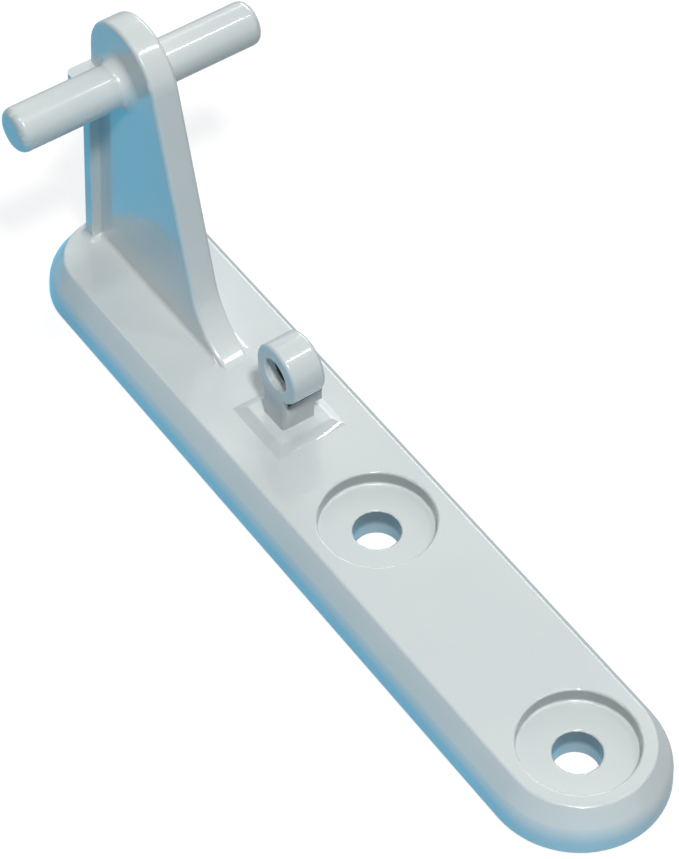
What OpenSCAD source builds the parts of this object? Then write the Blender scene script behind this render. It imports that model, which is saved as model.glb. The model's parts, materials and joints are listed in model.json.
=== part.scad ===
// Door hinge bracket of a refrigerator: one zinc die casting with a coat of light grey paint.
// A long base plate takes two screws. At its square end an upright web with a rear flange
// carries a cross pin, which is the pivot. In front of the web a small eyelet takes a link.
// The origin is at the middle of the base plate, on the face that it is screwed down on.
// +X runs along the plate to its round end, +Y along the cross pin, +Z up.

/* [Base plate] */
// Overall length of the base plate
plate_l = 118.8; // [112:0.1:130]
// Overall width of the base plate at its foot
plate_w = 23.2; // [22:0.1:28]
// Thickness of the base plate
plate_h = 6.5; // [6:0.1:9]
// Corner radius of the square end at the foot
corner_r = 9.8; // [6:0.1:10.8]
// Height of the upright band round the foot of the plate
band_h = 3.1; // [1.5:0.1:4]
// Inward lean of the upright band from its foot to its top
band_in = 0.1; // [0:0.05:0.4]
// Inward lean of the wall between the band and the top face
slope_in = 2.2; // [0.5:0.1:2.8]
// Rounding of the plate's top and bottom edges
plate_edge = 0.5; // [0.2:0.05:0.8]

/* [Screw holes] */
// Distance between the two screw holes
hole_pitch = 41; // [34:0.5:44]
// Diameter of a screw hole
hole_d = 6; // [4:0.1:7]
// Diameter of the seat sunk for a screw head
seat_d = 15; // [12:0.1:16]
// Depth of the seat below the top face
seat_deep = 2.2; // [1:0.1:2.6]
// Rounding of the seat's mouth, of the corner at its floor and of the screw hole's mouth
seat_edge = 0.35; // [0.1:0.05:0.5]

/* [Underside] */
// Depth of the hollow under the plate
hollow_deep = 1.3; // [0.5:0.1:1.6]
// Width of the rim round the hollow
rim_w = 2.6; // [2:0.1:4]
// Width of the raised ring round each screw hole, in the hollow
ring_w = 1.8; // [1:0.1:3]

/* [Upright] */
// Distance of the cross pin from the square end of the plate
pin_inset = 12.8; // [12:0.1:16]
// Height of the cross pin's axis above the top of the plate
pin_rise = 33.8; // [25:0.1:40]
// Thickness of the upright web
web_t = 4; // [3:0.1:6]
// Radius of the web's rounded head
head_r = 7.5; // [6.5:0.1:7.8]
// Distance of the head's centre in front of the pin
head_ahead = 0.5; // [0:0.1:2]
// Height of the head's centre above the pin
head_above = 1.1; // [0:0.1:2]
// Rounding of the web's rim, round the head and down its front
rim_edge = 0.6; // [0.3:0.1:1.2]
// Lean of the web's front edge from the upright, in degrees
front_lean = 14; // [8:0.5:16]
// Radius of the sweep from the front edge down to the plate
sweep_r = 11.5; // [6:0.5:16]
// Depth of the sweep's lowest point below the top of the plate
sweep_sink = 0.6; // [0.2:0.1:0.8]
// Radius of the fillets where the upright meets the plate
foot_r = 0.9; // [0.5:0.1:1.5]

/* [Rear flange] */
// Width of the rear flange
flange_w = 7; // [6:0.1:9]
// Thickness of the rear flange
flange_t = 2.1; // [1.5:0.1:3]
// Rounding of the flange's rear corners
flange_edge = 0.8; // [0.3:0.1:1.2]
// Lean of the rear flange from the upright, in degrees
flange_lean = 4; // [0:0.5:4.5]
// Reach of the flange's shoulders to each side, just under the pin
shoulder_out = 2.1; // [1:0.1:3]
// Height of the upright end of a shoulder
shoulder_h = 1.5; // [1:0.1:2.5]
// Distance of the shoulders' top below the pin's axis
shoulder_drop = 1.7; // [0.5:0.1:2]

/* [Cross pin] */
// Diameter of the cross pin
pin_d = 6; // [5:0.1:7]
// Length of the cross pin from end to end
pin_l = 35.6; // [30:0.2:44]
// Rounding of the pin's ends
pin_edge = 1.1; // [0.3:0.1:1.5]
// Radius of the fillet where the pin meets the web
root_r = 1.6; // [0.5:0.1:1.8]

/* [Eyelet] */
// Distance between the eyelet's axis and the nearer screw hole
eyelet_gap = 19.5; // [18:0.1:22]
// Offset of the eyelet from the centre line
eyelet_off = 0.5; // [0:0.1:1]
// Height of the eyelet's axis above the top of the plate
eyelet_rise = 10; // [9:0.1:13]
// Outer diameter of the eyelet
eyelet_d = 8.4; // [7:0.1:9]
// Diameter of the hole in the eyelet
eye_d = 4.6; // [3:0.1:5]
// Rounding of the mouths of that hole
eye_edge = 0.3; // [0.1:0.05:0.5]
// Width of the eyelet along its axis
eyelet_w = 5; // [4:0.1:7]
// Rounding of the eyelet's rim
eyelet_edge = 0.6; // [0.2:0.1:0.8]
// Distance of the floor of the slot under the eyelet, in the front of the stem, below the axis
slot_drop = 4.95; // [4.6:0.05:5.6]
// Depth of that slot behind the front of the stem
slot_deep = 1.3; // [0.5:0.1:1.6]
// Wall that closes the slot on the near side
slot_wall = 0.8; // [0.5:0.1:1.5]
// Distance that the shoulder on the far side of the stem stands out
heel_out = 1; // [0.4:0.1:1.5]
// Height of the underside of that shoulder above the top of the plate
heel_rise = 3.4; // [2.5:0.1:4.5]
// Height of the shoulder's upright end
heel_h = 3; // [1.5:0.1:3.4]
// Height above the top of the plate where the eyelet's rear side runs into the stem
neck_rise = 4.9; // [4:0.1:5.5]
// Length of the straight run below the eyelet's axis on that side
neck_drop = 2.8; // [0.5:0.1:3]
// Length of the stem under the eyelet, along the plate
stem_l = 4.5; // [3.6:0.1:5]
// Rounding of the stem's upright edges
stem_edge = 0.4; // [0.2:0.1:0.8]
// Distance of the stem's middle behind the eyelet's axis
stem_back = 0.55; // [0.3:0.05:0.9]
// Side of the square pad at the stem's foot
pad_w = 10.4; // [8:0.1:11]
// Height of the pad
pad_h = 0.8; // [0.4:0.1:1.5]
// Run of the slope on each side of the pad
pad_in = 1.4; // [0.5:0.1:1.5]

/* [Hidden] */

// Bite of one solid into the next, and reach of a cut past a face
bite = 1;
// Facets of a full circle, and steps of a small and of a large arc
round_fn = 64;
edge_steps = 4;
sweep_steps = 18;

// Places along the plate and up the web
end_r = plate_w / 2;
hole_x = [plate_l / 2 - end_r, plate_l / 2 - end_r - hole_pitch];
corner_x = corner_r - plate_l / 2;
corner_y = end_r - corner_r;
eyelet_x = hole_x[1] - eyelet_gap;
eyelet_z = plate_h + eyelet_rise;
pin_x = pin_inset - plate_l / 2;
pin_z = plate_h + pin_rise;
head_c = [pin_x + head_ahead, pin_z + head_above];
rear_top = head_c + head_r * [-cos(flange_lean), sin(flange_lean)];
front_top = head_c + head_r * [cos(front_lean), sin(front_lean)];
rear_run = (rear_top[1] - plate_h + bite) / cos(flange_lean);
shoulder_z = pin_z - shoulder_drop;
// The sweep is an arc that touches the front edge's line and dips just under the plate's top
sweep_z = plate_h - sweep_sink;
foot_x = front_top[0] + (front_top[1] - sweep_z) * tan(front_lean);
sweep_reach = sweep_r * tan(45 - front_lean / 2);
sweep_c = [foot_x + sweep_reach, sweep_z + sweep_r];
front_run = (front_top[1] - sweep_z) / cos(front_lean) - sweep_reach;
stem_x = eyelet_x - stem_back;

// Where the web's rear edge is at height z
function rear_x(z) = rear_top[0] - (rear_top[1] - z) * tan(flange_lean);

// Points of a circle's arc from angle a0 to angle a1
function arc(centre, r, a0, a1, steps) =
    [for (i = [0:steps]) let (a = a0 + (a1 - a0) * i / steps) centre + r * [cos(a), sin(a)]];

// An outline drawn in X and Z, made w thick along Y about the plane y = 0
module slab(w) {
    rotate([90, 0, 0]) linear_extrude(w, center = true) children();
}

// Half of a turned disc or pin, from the axis out to r, h high and with both rims rounded
module turned_section(r, h, edge) {
    polygon(concat([[0, -h / 2]],
        arc([r - edge, edge - h / 2], edge, -90, 0, edge_steps),
        arc([r - edge, h / 2 - edge], edge, 0, 90, edge_steps),
        [[0, h / 2]]));
}

// Cross section of a fillet between a wall on the left and a floor, which bites into the wall
module fillet_section(r, into = bite) {
    polygon(concat([[-into, -bite], [r, -bite]], arc([r, r], r, -90, -180, edge_steps), [[-into, r]]));
}

// Half section of the tool for a round pocket, from its floor up to the face at its mouth.
// The mouth is rounded by lip and the corner at the floor by root.
module pocket_section(r, deep, lip, root) {
    polygon(concat([[0, -deep]],
        arc([r - root, root - deep], root, -90, 0, edge_steps),
        arc([r + lip, -lip], lip, 180, 90, edge_steps),
        [[r + lip, bite], [0, bite]]));
}

// Half section of the plate, from its middle out to r
module plate_section(r) {
    top_r = r - band_in - slope_in;
    slope_a = atan2(plate_h - band_h, slope_in);
    polygon(concat([[0, 0]],
        arc([r - plate_edge, plate_edge], plate_edge, -90, 0, edge_steps),
        [[r - band_in, band_h]],
        arc([top_r - plate_edge * tan(slope_a / 2), plate_h - plate_edge],
            plate_edge, 90 - slope_a, 90, edge_steps),
        [[0, plate_h]]));
}

module plate_turn(r, start, angle) {
    rotate_extrude(start = start, angle = angle, $fn = round_fn) plate_section(r);
}

module base_plate() {
    translate([hole_x[0], 0, 0]) plate_turn(end_r, -90, 180);
    for (side = [0, 1]) mirror([0, side, 0]) {
        translate([corner_x, 0, 0]) rotate([90, 0, 90])
            linear_extrude(hole_x[0] - corner_x) plate_section(end_r);
        translate([corner_x, corner_y, 0]) plate_turn(corner_r, 90, 90);
        translate([corner_x, 0, 0]) rotate([90, 0, 180]) translate([0, 0, -corner_y])
            linear_extrude(corner_y) plate_section(corner_r);
    }
}

// The hollow that saves metal under the plate, with a ring left round each screw hole
module underside_hollow() {
    translate([0, 0, -bite]) linear_extrude(hollow_deep + bite) difference() {
        union() {
            translate([hole_x[0], 0]) circle(r = end_r - rim_w, $fn = round_fn);
            translate([corner_x, rim_w - end_r]) square([hole_x[0] - corner_x, plate_w - 2 * rim_w]);
            translate([rim_w - plate_l / 2, -corner_y]) square([corner_r - rim_w, 2 * corner_y]);
            for (side = [-1, 1]) translate([corner_x, side * corner_y])
                circle(r = corner_r - rim_w, $fn = round_fn);
        }
        for (x = hole_x) translate([x, 0]) circle(r = hole_d / 2 + ring_w, $fn = round_fn);
    }
}

// Side outline of the web below the head, moved in by inset, with the sweep at its front
module web_outline(inset) {
    polygon(concat(
        [head_c, rear_top + inset * [cos(flange_lean), -sin(flange_lean)],
         [rear_x(plate_h - bite) + inset, plate_h - bite], [sweep_c[0], plate_h - bite]],
        arc(sweep_c, sweep_r + inset, -90, front_lean - 180, sweep_steps),
        [front_top - inset * [cos(front_lean), sin(front_lean)]]));
}

// The web's rim is a bar with rounded edges: round the head, down the front and along the sweep
module web_rim() {
    depth = 2 * rim_edge;
    translate([head_c[0], 0, head_c[1]]) rotate([90, 0, 0])
        rotate_extrude(start = front_lean, angle = 180 - flange_lean - front_lean, $fn = round_fn)
            turned_section(head_r, web_t, rim_edge);
    translate([front_top[0], 0, front_top[1]]) rotate([0, -front_lean, 0])
        translate([-depth, 0, -front_run]) linear_extrude(front_run)
            turned_section(depth, web_t, rim_edge);
    translate([sweep_c[0], 0, sweep_c[1]]) rotate([90, 0, 0])
        rotate_extrude(start = 180 + front_lean, angle = 90 - front_lean, $fn = round_fn)
            translate([sweep_r + depth, 0]) mirror([1, 0]) turned_section(depth, web_t, rim_edge);
    rear_bar(rear_top, flange_lean, rear_run, depth, web_t, rim_edge);
}

// A bar that runs down from the top of a rear edge at a lean, w wide and t thick, with its
// rear edges rounded
module rear_bar(top, lean, run, t, w, edge) {
    translate([top[0], 0, top[1]]) rotate([0, lean, 0]) translate([t, 0, -run])
        linear_extrude(run) mirror([1, 0]) turned_section(t, w, edge);
}

module web() {
    slab(web_t) web_outline(rim_edge);
    web_rim();
    // Fillets along both sides of the foot, which run out under the sweep
    intersection() {
        slab(web_t + 2 * foot_r) web_outline(rim_edge);
        for (side = [0, 1]) mirror([0, side, 0])
            translate([rear_x(plate_h) + rim_edge, web_t / 2, plate_h]) rotate([90, 0, 90])
                linear_extrude(plate_l / 2) fillet_section(foot_r);
    }
}

// The flange down the web's rear edge, and its shoulders behind the pin
module rear_flange() {
    half = flange_w / 2;
    wide = flange_w + 2 * shoulder_out;
    flare_z = shoulder_z - shoulder_h - shoulder_out;
    intersection() {
        rear_bar(rear_top, flange_lean, rear_run, flange_t, flange_w, flange_edge);
        translate([-plate_l / 2, -half, plate_h - bite])
            cube([plate_l, flange_w, shoulder_z - plate_h + bite]);
    }
    intersection() {
        rear_bar(rear_top, flange_lean, rear_run, flange_t, wide, flange_edge);
        translate([-plate_l / 2, 0, 0]) rotate([90, 0, 90]) linear_extrude(plate_l)
            for (side = [0, 1]) mirror([side, 0])
                polygon(concat([[0, flare_z], [half, flare_z]],
                    arc([wide / 2, flare_z], shoulder_out, 180, 90, 2 * edge_steps),
                    [[wide / 2, shoulder_z], [0, shoulder_z]]));
    }
}

// Fillets round the flange's foot, with a quarter turn at each of its corners
module flange_foot() {
    x0 = rear_x(plate_h);
    half = flange_w / 2;
    for (side = [0, 1]) mirror([0, side, 0]) translate([x0, half, plate_h]) {
        translate([flange_edge, 0, 0]) rotate([90, 0, 90])
            linear_extrude(flange_t - flange_edge) fillet_section(foot_r);
        translate([flange_edge, -flange_edge, 0]) rotate_extrude(start = 90, angle = 90, $fn = round_fn)
            translate([flange_edge, 0]) fillet_section(foot_r, flange_edge / 2);
        translate([flange_t, 0, 0]) rotate_extrude(start = 0, angle = 90, $fn = round_fn)
            fillet_section(foot_r, 0);
        translate([flange_t, 0, 0]) rotate([90, 0, 0])
            linear_extrude(half - web_t / 2) fillet_section(foot_r);
    }
    translate([x0, flange_edge - half, plate_h]) rotate([90, 0, 180])
        linear_extrude(flange_w - 2 * flange_edge) fillet_section(foot_r);
}

// The pin is cast through the web, with a fillet at its root on each side
module cross_pin() {
    r = pin_d / 2;
    translate([pin_x, 0, pin_z]) rotate([90, 0, 0]) {
        rotate_extrude($fn = round_fn) turned_section(r, pin_l, pin_edge);
        for (side = [0, 1]) mirror([0, 0, side]) rotate_extrude($fn = round_fn)
            translate([r, web_t / 2]) fillet_section(root_r);
    }
}

module eyelet() {
    translate([0, eyelet_off, 0]) {
        eyelet_stem();
        translate([eyelet_x, 0, eyelet_z]) {
            rotate([90, 0, 0]) rotate_extrude($fn = round_fn)
                turned_section(eyelet_d / 2, eyelet_w, eyelet_edge);
            eyelet_neck();
        }
        translate([stem_x - stem_l / 2, eyelet_w / 2 - stem_edge, plate_h + heel_rise])
            cube([stem_l, heel_out + stem_edge, heel_h]);
        eyelet_pad();
    }
}

// The stem, with the slot that parts its front from the underside of the eyelet
module eyelet_stem() {
    difference() {
        translate([stem_x, 0, plate_h - bite]) for (side = [0, 1]) mirror([side, 0, 0])
            linear_extrude(eyelet_rise + bite - eye_d / 2)
                turned_section(stem_l / 2, eyelet_w, stem_edge);
        translate([stem_x + stem_l / 2 - slot_deep, slot_wall - eyelet_w / 2, eyelet_z - slot_drop])
            cube([slot_deep + bite, eyelet_w, slot_drop]);
    }
}

// The neck behind the eyelet, which leads its rear side down into the stem
module eyelet_neck() {
    r = eyelet_d / 2;
    run = [r - stem_back - stem_l / 2, eyelet_rise - neck_drop - neck_rise];
    rear_bar([-r, 0], 0, neck_drop, r, eyelet_w, eyelet_edge);
    rear_bar([-r, -neck_drop], -atan2(run[0], run[1]), norm(run), r / 2, eyelet_w, eyelet_edge);
}

// Square pad with four sloping sides under the eyelet's stem
module eyelet_pad() {
    translate([stem_x, 0, plate_h]) intersection_for(turn = [0, 90]) rotate([0, 0, turn])
        slab(pad_w) polygon([[-pad_w / 2, -bite], [pad_w / 2, -bite], [pad_w / 2, 0],
            [pad_w / 2 - pad_in, pad_h], [pad_in - pad_w / 2, pad_h], [-pad_w / 2, 0]]);
}

module hinge_bracket() {
    color([0.8, 0.84, 0.84]) difference() {
        union() {
            base_plate();
            web();
            rear_flange();
            flange_foot();
            cross_pin();
            eyelet();
        }
        underside_hollow();
        for (x = hole_x) translate([x, 0, 0]) {
            translate([0, 0, plate_h]) rotate_extrude($fn = round_fn)
                pocket_section(seat_d / 2, seat_deep, seat_edge, seat_edge);
            translate([0, 0, plate_h - seat_deep]) rotate_extrude($fn = round_fn)
                pocket_section(hole_d / 2, plate_h, seat_edge, 0);
        }
        for (side = [0, 1]) translate([eyelet_x, eyelet_off, eyelet_z]) mirror([0, side, 0])
            translate([0, -eyelet_w / 2, 0]) rotate([90, 0, 0]) rotate_extrude($fn = round_fn)
                pocket_section(eye_d / 2, eyelet_w / 2 + heel_out, eye_edge, 0);
    }
}

hinge_bracket();
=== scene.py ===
# %% [markdown]
# # A hinge bracket of a refrigerator door
#
# The bracket is one zinc die casting under a coat of light grey paint: a long plate that two
# screws hold, an upright with the cross pin that the door turns on, and a small eyelet for a
# link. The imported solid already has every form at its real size. This script gives it what a
# solid model lacks: the soft edges that a coat of paint leaves on a casting, the paint itself,
# and the light of a small studio. Everything is in metres, in the solid's own frame: X runs
# along the plate, the pin lies along Y, and the underside is at Z = 0.

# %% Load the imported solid
import json
import math
import bpy
from mathutils import Euler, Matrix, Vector

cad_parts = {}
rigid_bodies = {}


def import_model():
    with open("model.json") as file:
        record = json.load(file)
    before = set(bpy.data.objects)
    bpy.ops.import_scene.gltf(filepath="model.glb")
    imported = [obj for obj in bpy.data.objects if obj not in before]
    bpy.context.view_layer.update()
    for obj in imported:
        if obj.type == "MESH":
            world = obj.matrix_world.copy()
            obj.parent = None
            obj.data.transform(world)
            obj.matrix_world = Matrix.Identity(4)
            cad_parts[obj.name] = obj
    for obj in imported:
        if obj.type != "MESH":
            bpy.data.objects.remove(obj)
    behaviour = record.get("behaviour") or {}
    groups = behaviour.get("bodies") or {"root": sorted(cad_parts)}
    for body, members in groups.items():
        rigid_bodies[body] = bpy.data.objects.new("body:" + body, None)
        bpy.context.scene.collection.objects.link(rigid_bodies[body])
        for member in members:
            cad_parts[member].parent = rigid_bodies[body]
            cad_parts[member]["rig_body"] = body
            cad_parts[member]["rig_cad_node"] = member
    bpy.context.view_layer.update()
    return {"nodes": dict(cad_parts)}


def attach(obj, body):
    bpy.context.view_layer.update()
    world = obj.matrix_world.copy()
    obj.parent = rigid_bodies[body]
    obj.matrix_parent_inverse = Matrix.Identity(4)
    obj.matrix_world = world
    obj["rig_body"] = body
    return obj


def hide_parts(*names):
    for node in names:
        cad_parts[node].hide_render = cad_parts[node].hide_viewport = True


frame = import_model()
MM = 0.001
bracket = frame["nodes"]["hinge_bracket"]

# %% [markdown]
# ## Camera
#
# The photograph looks down at the bracket from its round end and its left side, through a
# long lens. Two circles and the long straight edges of the plate fix the viewpoint. The
# turn is written as three angles: the tilt down, a very small roll, and the turn about Z.

# %% Camera
CAMERA_PLACE = Vector((218.7, -154.8, 331.5)) * MM
CAMERA_TURN = (40.432, -0.145, 55.053)
LENS = 140.86
SENSOR = 36.0


def add_camera():
    data = bpy.data.cameras.new("studio_camera")
    data.lens = LENS
    data.sensor_width = SENSOR
    data.clip_start = 0.02
    data.clip_end = 20.0
    camera = bpy.data.objects.new("studio_camera", data)
    bpy.context.scene.collection.objects.link(camera)
    camera.location = CAMERA_PLACE
    camera.rotation_euler = Euler([math.radians(angle) for angle in CAMERA_TURN])
    bpy.context.scene.camera = camera
    return camera


camera = add_camera()
print("camera stands", round(camera.location.length, 3), "m from the middle of the plate")

# %% [markdown]
# ## A copy of the solid to work on
#
# The solid's own mesh stays as it is, so the painted skin is a copy of it. Such a mesh comes
# as loose triangles: their shared corners are merged first, and flat areas are dissolved to
# single faces, so that an edge is left only where the form turns. An operator works on all
# that is selected, and loading leaves the solid selected. So one helper always clears the
# selection and then selects a single object.

# %% Copy and merge
MERGE_WITHIN = 0.002 * MM
FLAT_WITHIN = math.radians(0.4)


def select_only(piece):
    bpy.ops.object.select_all(action="DESELECT")
    piece.select_set(True)
    bpy.context.view_layer.objects.active = piece


def copy_of(node, name):
    piece = node.copy()
    piece.data = node.data.copy()
    piece.name = name
    piece.data.name = name
    bpy.context.scene.collection.objects.link(piece)
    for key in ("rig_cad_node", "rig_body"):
        if key in piece:
            del piece[key]
    piece.parent = None
    return piece


def merge_triangles(piece):
    select_only(piece)
    bpy.ops.object.mode_set(mode="EDIT")
    bpy.ops.mesh.select_all(action="SELECT")
    bpy.ops.mesh.remove_doubles(threshold=MERGE_WITHIN)
    bpy.ops.mesh.dissolve_limited(angle_limit=FLAT_WITHIN)
    bpy.ops.mesh.select_all(action="DESELECT")
    bpy.ops.object.mode_set(mode="OBJECT")


skin = copy_of(bracket, "painted_skin")
merge_triangles(skin)
print("merged copy:", len(skin.data.vertices), "points,", len(skin.data.polygons), "faces")

# %% [markdown]
# ## Lines that the mould rounds
#
# A few lines of the casting are rounder than the others: the foot line, where the upright
# band meets the slope all round the plate, and the lines of the low pad under the eyelet, at
# its foot, at its top and where the stem stands on it. On the real part the light runs
# softly over them. They could be rounded by a modifier with weights, but the bevel tool in
# edit mode is plainer: the edges are picked by their height and place, and each is rounded
# in a few steps.

# %% Round the lines
FOOT_LINE_Z = 3.1 * MM
FOOT_ROUND = 1.0 * MM
PART_CENTRE = (0.0, 0.0)
PART_REACH = 100.0 * MM
PAD_LINES_Z = (7.3 * MM, 6.5 * MM)
PAD_ROUND = 0.45 * MM
PAD_CENTRE = (-13.25 * MM, 0.5 * MM)
PAD_REACH = 5.4 * MM
SAME_HEIGHT = 0.02 * MM
ROUND_STEPS = 4


def is_on_line(point, height, centre, reach):
    off_centre = max(abs(point.x - centre[0]), abs(point.y - centre[1]))
    return abs(point.z - height) < SAME_HEIGHT and off_centre < reach


def round_line(piece, height, centre, reach, radius):
    """Rounds the edges at one height that lie within `reach` of `centre` along X and Y."""
    points = piece.data.vertices
    for edge in piece.data.edges:
        edge.select = all(is_on_line(points[i].co, height, centre, reach) for i in edge.vertices)
    chosen = sum(edge.select for edge in piece.data.edges)
    bpy.ops.object.mode_set(mode="EDIT")
    bpy.ops.mesh.select_mode(type="EDGE")
    bpy.ops.mesh.bevel(offset=radius, segments=ROUND_STEPS, affect="EDGES", clamp_overlap=True)
    bpy.ops.mesh.select_all(action="DESELECT")
    bpy.ops.object.mode_set(mode="OBJECT")
    print("rounded", chosen, "edges at a height of", round(height / MM, 2), "mm")


round_line(skin, FOOT_LINE_Z, PART_CENTRE, PART_REACH, FOOT_ROUND)
for line_z in PAD_LINES_Z:
    round_line(skin, line_z, PAD_CENTRE, PAD_REACH, PAD_ROUND)

# %% [markdown]
# ## Soft edges
#
# Paint can't hold a sharp edge: on the real casting every rim shows a thin soft highlight.
# The solid has its main roundings already, but the mouths of the holes, the stem and the
# seats of the screws are sharp in it. A bevel of about a seventh of a millimetre goes on each
# edge that is still sharp. Weighted normals then keep the flats flat while the roundings
# shade smoothly. Each modifier is applied at once, so the mesh is final when it is painted.

# %% Soften the edges
EDGE_SOFTNESS = 0.14 * MM
SHARP_EDGE = math.radians(27.0)
SMOOTH_WITHIN = math.radians(35.0)


def apply_modifier(piece, kind, name, **settings):
    select_only(piece)
    modifier = piece.modifiers.new(name, kind)
    for key, value in settings.items():
        setattr(modifier, key, value)
    bpy.ops.object.modifier_apply(modifier=modifier.name)


apply_modifier(skin, "BEVEL", "soft_edges", width=EDGE_SOFTNESS, segments=2,
               limit_method="ANGLE", angle_limit=SHARP_EDGE, use_clamp_overlap=True,
               miter_outer="MITER_ARC", loop_slide=False)
select_only(skin)
bpy.ops.object.shade_smooth_by_angle(angle=SMOOTH_WITHIN)
apply_modifier(skin, "WEIGHTED_NORMAL", "flat_flats", keep_sharp=True, weight=100)
print("skin:", len(skin.data.vertices), "points,", len(skin.data.polygons), "faces")

# %% [markdown]
# ## Two node groups for the paint
#
# Sprayed paint differs a little in depth over centimetres, and the holes and the seats of the
# screws get painted shade and painted light. Each is a node group with named inputs, so that
# another finish could use it with values of its own. The first gives a value that wanders
# slowly between two limits. The second gives 1 inside a round bore and 0 outside it, and
# takes the two coordinates that lie across the bore's axis, so it serves upright holes and
# cross holes alike.

# %% Group for the wandering depth
NOISE_DETAIL = 3.0
NOISE_ROUGHNESS = 0.55
NOISE_MIDDLE = (0.35, 0.65)


def new_group(name, inputs, outputs):
    group = bpy.data.node_groups.new(name, "ShaderNodeTree")
    for label, value in inputs.items():
        socket = group.interface.new_socket(label, in_out="INPUT", socket_type="NodeSocketFloat")
        socket.default_value = value
    for label in outputs:
        group.interface.new_socket(label, in_out="OUTPUT", socket_type="NodeSocketFloat")
    return group, group.nodes.new("NodeGroupInput"), group.nodes.new("NodeGroupOutput")


def wander_group():
    group, start, end = new_group("paint_wander", {"Scale": 60.0, "Low": 0.0, "High": 1.0}, ["Value"])
    place = group.nodes.new("ShaderNodeTexCoord")
    noise = group.nodes.new("ShaderNodeTexNoise")
    noise.inputs["Detail"].default_value = NOISE_DETAIL
    noise.inputs["Roughness"].default_value = NOISE_ROUGHNESS
    spread = group.nodes.new("ShaderNodeMapRange")
    spread.inputs["From Min"].default_value = NOISE_MIDDLE[0]
    spread.inputs["From Max"].default_value = NOISE_MIDDLE[1]
    group.links.new(place.outputs["Object"], noise.inputs["Vector"])
    group.links.new(start.outputs["Scale"], noise.inputs["Scale"])
    group.links.new(noise.outputs["Fac"], spread.inputs["Value"])
    group.links.new(start.outputs["Low"], spread.inputs["To Min"])
    group.links.new(start.outputs["High"], spread.inputs["To Max"])
    group.links.new(spread.outputs["Result"], end.inputs["Value"])
    return group


wander = wander_group()
print("group", wander.name, "has", len(wander.nodes), "nodes")


# %% Group for the inside of a bore
def set_or_link(tree, value, socket):
    if isinstance(value, bpy.types.NodeSocket):
        tree.links.new(value, socket)
    else:
        socket.default_value = value


def calculate(tree, operation, *values):
    """One step of arithmetic on sockets or plain numbers."""
    node = tree.nodes.new("ShaderNodeMath")
    node.operation = operation
    for value, socket in zip(values, node.inputs):
        set_or_link(tree, value, socket)
    return node.outputs["Value"]


def bore_group():
    inputs = {"First": 0.0, "Second": 0.0, "Across": 0.0, "Along": 0.0, "Radius": 0.003}
    group, start, end = new_group("inside_bore", inputs, ["Mask"])
    squares = []
    for place, centre in (("First", "Across"), ("Second", "Along")):
        gap = calculate(group, "SUBTRACT", start.outputs[place], start.outputs[centre])
        squares.append(calculate(group, "MULTIPLY", gap, gap))
    from_axis = calculate(group, "SQRT", calculate(group, "ADD", *squares))
    inside = calculate(group, "LESS_THAN", from_axis, start.outputs["Radius"])
    group.links.new(inside, end.inputs["Mask"])
    return group


bore = bore_group()
print("group", bore.name, "has", len(bore.nodes), "nodes")

# %% [markdown]
# ## The base coat
#
# The paint is a glossy light grey with a touch of green-blue. It is a half matt colour under
# a clear glossy coat, because the real part shows a broad soft sheen and small crisp glints
# at the same time, which one roughness alone can't give. What is the same all over is set on
# the shader's own sockets. The colour is mixed from two close greys by the wandering value.

# %% Base coat
PAINT = (0.62, 0.67, 0.67, 1.0)
PAINT_DEEP = (0.58, 0.635, 0.64, 1.0)
WANDER_SCALE = 45.0
PAINT_IOR = 1.5
COAT_ROUGHNESS = 0.05


def mixed(tree, kind, factor, low, high):
    """A mix of two colours or values, each a socket or a plain value."""
    node = tree.nodes.new("ShaderNodeMix")
    node.data_type = kind
    set_or_link(tree, low, node.inputs["A"])
    set_or_link(tree, high, node.inputs["B"])
    tree.links.new(factor, node.inputs["Factor"])
    return node.outputs["Result"]


def object_axes(tree):
    place = tree.nodes.new("ShaderNodeTexCoord")
    axes = tree.nodes.new("ShaderNodeSeparateXYZ")
    tree.links.new(place.outputs["Object"], axes.inputs["Vector"])
    return [axes.outputs[label] for label in "XYZ"]


paint = bpy.data.materials.new("light_grey_paint")
paint.use_nodes = True
paint_tree = paint.node_tree
shader = paint_tree.nodes["Principled BSDF"]
shader.inputs["IOR"].default_value = PAINT_IOR
shader.inputs["Coat Roughness"].default_value = COAT_ROUGHNESS
tint = paint_tree.nodes.new("ShaderNodeGroup")
tint.node_tree = wander
tint.inputs["Scale"].default_value = WANDER_SCALE
base_coat = mixed(paint_tree, "RGBA", tint.outputs["Value"], PAINT, PAINT_DEEP)
x, y, z = object_axes(paint_tree)
print("material", paint.name, "mixes", PAINT[:3], "and", PAINT_DEEP[:3])

# %% [markdown]
# ## Painted shade and painted light
#
# Some places are painted darker or lighter to stand in for the shade and light on them.
# The screw holes and the upright walls of their seats are painted darker, as painted shade.
# Just inside the eyelet's bore the wall is painted pale, as painted light, and the middle of
# that bore and the narrow slot under the ring are painted near black, as painted shade. The
# sloping sides of the pad and the stem are painted a little darker, as painted shade. Each
# place could be painted by hand, but a mask worked out from the Object coordinates is exact,
# and it needs no picture. A mask fades in and out by smooth steps: a pair of places says
# where it is 0 and where it is 1.

# %% Masks of the screw holes
HOLES_X = (47.8 * MM, 6.8 * MM)
HOLE_R = 3.06 * MM
HOLE_SHADE_Z = (1.4 * MM, 2.6 * MM)
SEAT_R = 7.9 * MM
SEAT_WALL_Z = ((4.4 * MM, 4.8 * MM), (6.4 * MM, 6.0 * MM))


def smooth_step(tree, value, at_0, at_1):
    node = tree.nodes.new("ShaderNodeMapRange")
    node.interpolation_type = "SMOOTHSTEP"
    node.inputs["From Min"].default_value = at_0
    node.inputs["From Max"].default_value = at_1
    tree.links.new(value, node.inputs["Value"])
    return node.outputs["Result"]


def product(tree, *values):
    result = values[0]
    for value in values[1:]:
        result = calculate(tree, "MULTIPLY", result, value)
    return result


def between(tree, value, start, stop):
    return product(tree, smooth_step(tree, value, *start), smooth_step(tree, value, *stop))


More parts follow.
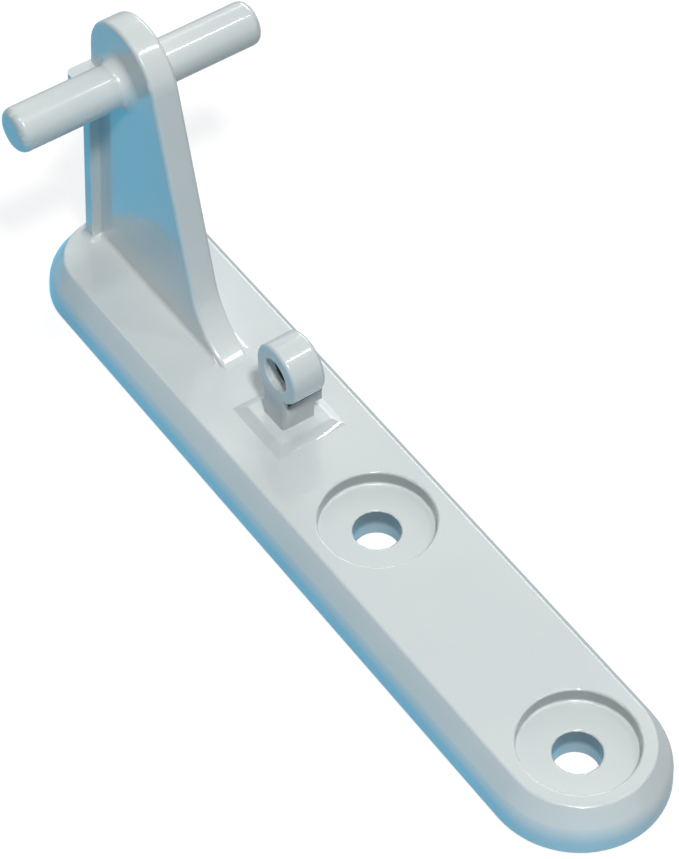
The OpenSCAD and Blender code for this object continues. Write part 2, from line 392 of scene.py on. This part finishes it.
def bore_mask(first, second, centre, radius):
    node = paint_tree.nodes.new("ShaderNodeGroup")
    node.node_tree = bore
    sockets = {"First": first, "Second": second, "Across": centre[0], "Along": centre[1], "Radius": radius}
    for label, value in sockets.items():
        set_or_link(paint_tree, value, node.inputs[label])
    return node.outputs["Mask"]


def both_holes(radius):
    return calculate(paint_tree, "MAXIMUM", *[bore_mask(x, y, (hole_x, 0.0), radius) for hole_x in HOLES_X])


# Painted shade: the walls of the screw holes are painted dark, fading out towards the bottom.
screw_hole_shade = product(paint_tree, both_holes(HOLE_R), smooth_step(paint_tree, z, *HOLE_SHADE_Z))
# Painted shade: the upright walls of the seats are painted darker.
seat_wall_shade = product(paint_tree, both_holes(SEAT_R), between(paint_tree, z, *SEAT_WALL_Z))
print("screw holes at X =", [round(hole_x / MM, 1) for hole_x in HOLES_X], "mm")

# %% Masks of the eyelet
EYE_AXIS = (-12.7 * MM, 16.5 * MM)
EYE_R = 2.36 * MM
EYE_PALE_Y = (-1.7 * MM, -0.9 * MM)
EYE_SHADE_Y = ((-0.57 * MM, -0.42 * MM), (1.57 * MM, 1.42 * MM))
SLOT_X = (-12.6 * MM, -12.4 * MM)
SLOT_Y = (-1.3 * MM, -1.1 * MM)
SLOT_Z = ((11.5 * MM, 11.65 * MM), (12.6 * MM, 12.4 * MM))

eye_bore = bore_mask(x, z, EYE_AXIS, EYE_R)
# Painted light: from a little way in, the wall of the eyelet's bore is painted nearly white.
eye_painted_light = product(paint_tree, eye_bore, smooth_step(paint_tree, y, *EYE_PALE_Y))
# Painted shade: the middle of the eyelet's bore is painted near black.
eye_bore_shade = product(paint_tree, eye_bore, between(paint_tree, y, *EYE_SHADE_Y))
# Painted shade: the narrow slot under the ring is painted near black.
slot_shade = product(paint_tree, between(paint_tree, z, *SLOT_Z),
               smooth_step(paint_tree, y, *SLOT_Y), smooth_step(paint_tree, x, *SLOT_X))
# Painted shade: all places painted near black; the clear coat is taken off there as well.
shade_painted = calculate(paint_tree, "MAXIMUM", eye_bore_shade, slot_shade)
print("bare metal from Y =", round(EYE_SHADE_Y[0][1] / MM, 2), "to", round(EYE_SHADE_Y[1][1] / MM, 2), "mm")

# %% Masks of the pad and the stem
PAD_TOP_HALF = 3.8 * MM
PAD_HALF = 5.2 * MM
PAD_SIDE = ((PAD_TOP_HALF - 0.2 * MM, PAD_TOP_HALF + 0.3 * MM), (PAD_HALF + 0.15 * MM, PAD_HALF - 0.15 * MM))
PAD_Z = ((5.8 * MM, 6.2 * MM), (7.7 * MM, 7.4 * MM))
STEM_Z = ((7.3 * MM, 7.6 * MM), (15.0 * MM, 11.0 * MM))


def distance(value, place):
    return calculate(paint_tree, "ABSOLUTE", calculate(paint_tree, "SUBTRACT", value, place))


from_pad = calculate(paint_tree, "MAXIMUM", distance(x, PAD_CENTRE[0]), distance(y, PAD_CENTRE[1]))
# Painted shade: the sloping sides of the pad are painted a little darker and rougher.
pad_side_shade = product(paint_tree, between(paint_tree, from_pad, *PAD_SIDE), between(paint_tree, z, *PAD_Z))
# Painted shade: the stem under the ring is painted darker, fading out upwards towards the ring.
stem_shade = product(paint_tree, between(paint_tree, z, *STEM_Z),
               smooth_step(paint_tree, from_pad, PAD_HALF, PAD_TOP_HALF))
print("the pad's sides slope over", round((PAD_HALF - PAD_TOP_HALF) / MM, 1), "mm")

# %% [markdown]
# ## Layers of painted shade and light
#
# Each mask lays its own colour and its own roughness over what is below it. The order
# matters: the painted shade on the pad, the stem and the seats comes first, then the painted
# shade and light in the bores, and the near black painted shade last. Where that near black
# shade is painted, in the eyelet's bore and in the slot, the clear coat's weight falls to
# nothing.

# %% Layers of the paint
PAINT_PAD_SHADE = (0.5, 0.55, 0.56, 1.0)
PAINT_STEM_SHADE = (0.44, 0.48, 0.5, 1.0)
PAINT_SEAT_SHADE = (0.32, 0.355, 0.37, 1.0)
PAINT_HOLE_SHADE = (0.22, 0.255, 0.275, 1.0)
PAINT_EYE_LIGHT = (0.93, 0.95, 0.95, 1.0)
PAINT_SLOT_SHADE = (0.06, 0.07, 0.075, 1.0)
PAINT_EYE_SHADE = (0.04, 0.05, 0.055, 1.0)
PAINT_ROUGHNESS = 0.3
COAT = 0.8

layers = (
    (pad_side_shade, PAINT_PAD_SHADE, 0.5),
    (stem_shade, PAINT_STEM_SHADE, 0.36),
    (seat_wall_shade, PAINT_SEAT_SHADE, 0.4),
    (screw_hole_shade, PAINT_HOLE_SHADE, 0.45),
    (eye_painted_light, PAINT_EYE_LIGHT, PAINT_ROUGHNESS),
    (slot_shade, PAINT_SLOT_SHADE, 0.6),
    (eye_bore_shade, PAINT_EYE_SHADE, 0.6),
)
color = base_coat
roughness = PAINT_ROUGHNESS
for mask, layer_color, layer_roughness in layers:
    color = mixed(paint_tree, "RGBA", mask, color, layer_color)
    roughness = mixed(paint_tree, "FLOAT", mask, roughness, layer_roughness)
# The clear coat fades out where the near black shade is painted.
coat = calculate(paint_tree, "MULTIPLY_ADD", shade_painted, -COAT, COAT)
paint_tree.links.new(color, shader.inputs["Base Color"])
paint_tree.links.new(roughness, shader.inputs["Roughness"])
paint_tree.links.new(coat, shader.inputs["Coat Weight"])
print(len(layers), "layers over the base coat")

# %% [markdown]
# ## The skin takes the solid's place
#
# The skin is the same form as the solid with softer edges, so it stands for the solid in
# every picture, while the solid stays behind it for collision. Both get the paint.

# %% Dress the bracket
for piece in (bracket, skin):
    piece.data.materials.clear()
    piece.data.materials.append(paint)
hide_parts("hinge_bracket")
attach(skin, "root")
print("paint on", skin.name)

# %% [markdown]
# ## Floor
#
# The bracket stands on a pale table that runs out of the view. To the camera the table is
# nearly white by its own colour, so no lamp has to be turned up to make it so, and it keeps
# the part's soft shadow. The glossy paint mirrors the table, and on the real part all that
# faces down and to the near side mirrors something blue. So the table is blue only in a
# strip on that side, and only for the light that it throws on the part and the image that
# the paint mirrors; elsewhere both are grey. Light Path tells the kinds of rays apart.

# %% What each kind of ray meets
FLOOR_SEEN = (0.32, 0.325, 0.33, 1.0)
BOUNCE_BLUE = (0.1, 0.5, 0.78, 1.0)
BOUNCE_GREY = (0.1, 0.12, 0.14, 1.0)
GLOW_WHITE = (1.0, 1.0, 1.0, 1.0)
GLOW_BLUE = (0.1, 0.35, 0.49, 1.0)
GLOW_GREY = (0.5, 0.54, 0.56, 1.0)
STRIP_Y = ((-8.0 * MM, 12.0 * MM), (-50.0 * MM, -110.0 * MM))


def ray_kinds(tree):
    """Two masks: rays that look straight at the white, and those plus mirrored rays."""
    path = tree.nodes.new("ShaderNodeLightPath")
    straight = calculate(tree, "MAXIMUM", path.outputs["Is Camera Ray"], path.outputs["Is Transmission Ray"])
    return straight, calculate(tree, "MAXIMUM", straight, path.outputs["Is Glossy Ray"])


table = bpy.data.materials.new("white_table")
table.use_nodes = True
table_tree = table.node_tree
table_tree.nodes.remove(table_tree.nodes["Principled BSDF"])
straight, shown = ray_kinds(table_tree)
floor_y = object_axes(table_tree)[1]
off_strip = calculate(table_tree, "MAXIMUM", *[smooth_step(table_tree, floor_y, *side) for side in STRIP_Y])
bounce = mixed(table_tree, "RGBA", off_strip, BOUNCE_BLUE, BOUNCE_GREY)
mirrored = mixed(table_tree, "RGBA", off_strip, GLOW_BLUE, GLOW_GREY)
matt_color = mixed(table_tree, "RGBA", straight, bounce, FLOOR_SEEN)
glow_color = mixed(table_tree, "RGBA", straight, mirrored, GLOW_WHITE)
print("blue strip is full from Y =", round(STRIP_Y[0][0] / MM), "to", round(STRIP_Y[1][0] / MM), "mm")

# %% [markdown]
# ## A table that is white far out and clear from below
#
# The lamps are small and near, so their light falls off on the table. Its own glow rises to
# full with the distance from the part, and that keeps it evenly white up to the horizon.
# Seen from below it is clear, so that the underside of the plate can be looked at.

# %% Shaders of the floor
GLOW_LEVEL = 0.75
GLOW_SPREAD = (0.15, 0.9)

middle = table_tree.nodes.new("ShaderNodeTexCoord")
far_out = table_tree.nodes.new("ShaderNodeVectorMath")
far_out.operation = "LENGTH"
table_tree.links.new(middle.outputs["Object"], far_out.inputs["Vector"])
level = smooth_step(table_tree, far_out.outputs["Value"], *GLOW_SPREAD)
level.node.inputs["To Min"].default_value = GLOW_LEVEL

matt = table_tree.nodes.new("ShaderNodeBsdfDiffuse")
glow = table_tree.nodes.new("ShaderNodeEmission")
clear = table_tree.nodes.new("ShaderNodeBsdfTransparent")
lit = table_tree.nodes.new("ShaderNodeAddShader")
sheet = table_tree.nodes.new("ShaderNodeMixShader")
side = table_tree.nodes.new("ShaderNodeNewGeometry")
table_tree.links.new(matt_color, matt.inputs["Color"])
table_tree.links.new(glow_color, glow.inputs["Color"])
table_tree.links.new(product(table_tree, shown, level), glow.inputs["Strength"])
table_tree.links.new(matt.outputs["BSDF"], lit.inputs[0])
table_tree.links.new(glow.outputs["Emission"], lit.inputs[1])
table_tree.links.new(side.outputs["Backfacing"], sheet.inputs["Fac"])
table_tree.links.new(lit.outputs["Shader"], sheet.inputs[1])
table_tree.links.new(clear.outputs["BSDF"], sheet.inputs[2])
table_tree.links.new(sheet.outputs["Shader"], table_tree.nodes["Material Output"].inputs["Surface"])
print("glow from", GLOW_LEVEL, "near the part to 1.0 at", GLOW_SPREAD[1], "m")

# %% Floor
FLOOR_SIZE = 6.0
FLOOR_GAP = 0.03 * MM


def add_floor():
    bpy.ops.object.select_all(action="DESELECT")
    bpy.ops.mesh.primitive_plane_add(size=FLOOR_SIZE, location=(0.0, 0.0, -FLOOR_GAP))
    floor = bpy.context.active_object
    floor.name = "white_table"
    floor.data.materials.append(table)
    return floor


floor = add_floor()
print("floor is", floor.dimensions.x, "m across")

# %% [markdown]
# ## Air and lamps
#
# The air gives only a weak, cool fill light, but straight and mirrored rays find it white, as
# they find the table. The lamps are four boxes that look at the middle of the plate. The main
# box is small and stands high beyond the screw end: it gives the crisp glints and the clear
# shadows that the photograph shows. The top box lifts what faces up, the spark box lights the
# rims that the main box misses, and the large back box fills the far side. A lamp's energy
# follows from its distance, so that its level says how bright it makes a white surface.

# %% Air
AIR_COLOR = (0.86, 0.94, 1.0, 1.0)
AIR_LEVEL = 0.15


def set_world():
    world = bpy.data.worlds.new("studio_air")
    bpy.context.scene.world = world
    world.use_nodes = True
    tree = world.node_tree
    air = tree.nodes["Background"]
    air.inputs["Color"].default_value = AIR_COLOR
    air.inputs["Strength"].default_value = AIR_LEVEL
    white = tree.nodes.new("ShaderNodeBackground")
    white.inputs["Color"].default_value = (1.0, 1.0, 1.0, 1.0)
    white.inputs["Strength"].default_value = 1.0
    mix = tree.nodes.new("ShaderNodeMixShader")
    tree.links.new(ray_kinds(tree)[1], mix.inputs["Fac"])
    tree.links.new(air.outputs["Background"], mix.inputs[1])
    tree.links.new(white.outputs["Background"], mix.inputs[2])
    tree.links.new(mix.outputs["Shader"], tree.nodes["World Output"].inputs["Surface"])
    return world


world = set_world()
print("air:", world.name, "at a level of", AIR_LEVEL)


# %% Lamps
def add_lamp(name, direction, distance, size, level, color):
    """A soft box that gives the part about `level` times white, from `direction`."""
    data = bpy.data.lights.new(name, "AREA")
    data.shape = "RECTANGLE"
    data.size, data.size_y = size
    data.color = color
    data.energy = level * (math.pi * distance) ** 2
    lamp = bpy.data.objects.new(name, data)
    bpy.context.scene.collection.objects.link(lamp)
    toward = Vector(direction).normalized()
    lamp.location = toward * distance
    lamp.rotation_euler = toward.to_track_quat("Z", "Y").to_euler()
    print("lamp", name, "at", [round(v, 2) for v in lamp.location], "m,", round(data.energy, 2), "W")


add_lamp("main_box", (0.42, -0.18, 0.885), 0.8, (0.08, 0.08), 0.66, (1.0, 0.985, 0.965))
add_lamp("top_box", (0.0, 0.0, 1.0), 0.8, (0.06, 0.06), 0.1, (1.0, 1.0, 1.0))
add_lamp("spark_box", (0.18, 0.37, 0.91), 0.7, (0.05, 0.08), 0.07, (1.0, 1.0, 1.0))
add_lamp("back_box", (-0.62, 0.7, 0.35), 0.9, (0.6, 0.6), 0.42, (0.97, 0.99, 1.0))

# %% [markdown]
# ## Last settings
#
# Plain view settings show each colour as it is written.

# %% Finish
bpy.context.scene.view_settings.view_transform = "Standard"
